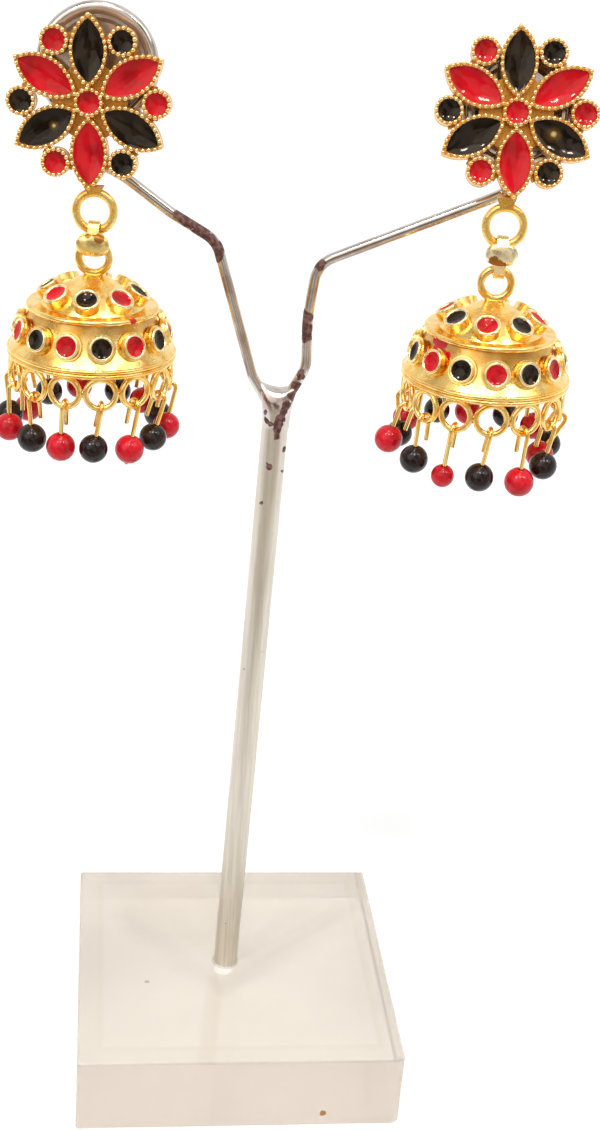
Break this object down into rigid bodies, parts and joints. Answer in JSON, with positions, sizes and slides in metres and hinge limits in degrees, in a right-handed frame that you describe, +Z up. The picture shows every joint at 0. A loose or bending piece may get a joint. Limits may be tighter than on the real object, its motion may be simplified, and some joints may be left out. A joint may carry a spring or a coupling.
{
  "type": "pair of jhumka earrings on a Y-shaped display stand",
  "caption": "Gold-toned jhumka earrings with flower tops, linked two-tier bells and beaded fringe, red and black stones, hung on a chromed wire stand with a clear block base.",
  "frame": {"origin": "middle of the base block's underside", "axes": "+Z up; the earrings face -Y and the stand's arms spread along X"},
  "size_m": [0.063, 0.0448, 0.1301],
  "materials": {
    "acrylic": "clear polished acrylic, slightly warm",
    "chromed_steel": "worn chrome with small rust patches",
    "gold_plate": "bright gold plating, cast grain",
    "gold_wire": "bright drawn wire",
    "push_back_metal": "plain plated",
    "red_enamel": "glossy resin enamel",
    "black_enamel": "glossy resin enamel",
    "red_bead": "glossy painted bead",
    "black_bead": "glossy painted bead"
  },
  "bodies": {
    "root": {"acrylic_base": "acrylic", "stand_frame": "chromed_steel", "left_flower_setting": "gold_plate", "left_petal_stone_1": "black_enamel", "left_petal_stone_2": "red_enamel", "left_petal_stone_3": "black_enamel", "left_petal_stone_4": "red_enamel", "left_petal_stone_5": "black_enamel", "left_petal_stone_6": "red_enamel", "left_round_stone_1": "black_enamel", "left_round_stone_2": "red_enamel", "left_round_stone_3": "black_enamel", "left_round_stone_4": "red_enamel", "left_round_stone_5": "black_enamel", "left_round_stone_6": "red_enamel", "left_centre_stone": "red_enamel", "left_push_back": "push_back_metal", "right_flower_setting": "gold_plate", "right_petal_stone_1": "black_enamel", "right_petal_stone_2": "red_enamel", "right_petal_stone_3": "black_enamel", "right_petal_stone_4": "red_enamel", "right_petal_stone_5": "black_enamel", "right_petal_stone_6": "red_enamel", "right_round_stone_1": "black_enamel", "right_round_stone_2": "red_enamel", "right_round_stone_3": "black_enamel", "right_round_stone_4": "red_enamel", "right_round_stone_5": "black_enamel", "right_round_stone_6": "red_enamel", "right_centre_stone": "red_enamel", "right_push_back": "push_back_metal"},
    "left_link": {"left_connector_link": "gold_plate"},
    "left_bell": {"left_bell": "gold_plate", "left_bell_red_stones": "red_enamel", "left_bell_black_stones": "black_enamel", "left_drop_hooks": "gold_wire", "left_red_beads": "red_bead", "left_black_beads": "black_bead"},
    "right_link": {"right_connector_link": "gold_plate"},
    "right_bell": {"right_bell": "gold_plate", "right_bell_red_stones": "red_enamel", "right_bell_black_stones": "black_enamel", "right_drop_hooks": "gold_wire", "right_red_beads": "red_bead", "right_black_beads": "black_bead"}
  },
  "joints": [
    {"name": "left_link_swing", "type": "hinge", "parent": "root", "child": "left_link", "pos_m": [-0.01975, -0.00355, 0.10631], "axis": [1, 0, 0], "range_deg": [-20, 20]},
    {"name": "left_bell_swing", "type": "hinge", "parent": "left_link", "child": "left_bell", "pos_m": [-0.01975, -0.00355, 0.10491], "axis": [1, 0, 0], "range_deg": [-20, 20]},
    {"name": "right_link_swing", "type": "hinge", "parent": "root", "child": "right_link", "pos_m": [0.02342, -0.00355, 0.10812], "axis": [1, 0, 0], "range_deg": [-20, 20]},
    {"name": "right_bell_swing", "type": "hinge", "parent": "right_link", "child": "right_bell", "pos_m": [0.02332, -0.00355, 0.10552], "axis": [1, 0, 0], "range_deg": [-20, 20]}
  ]
}
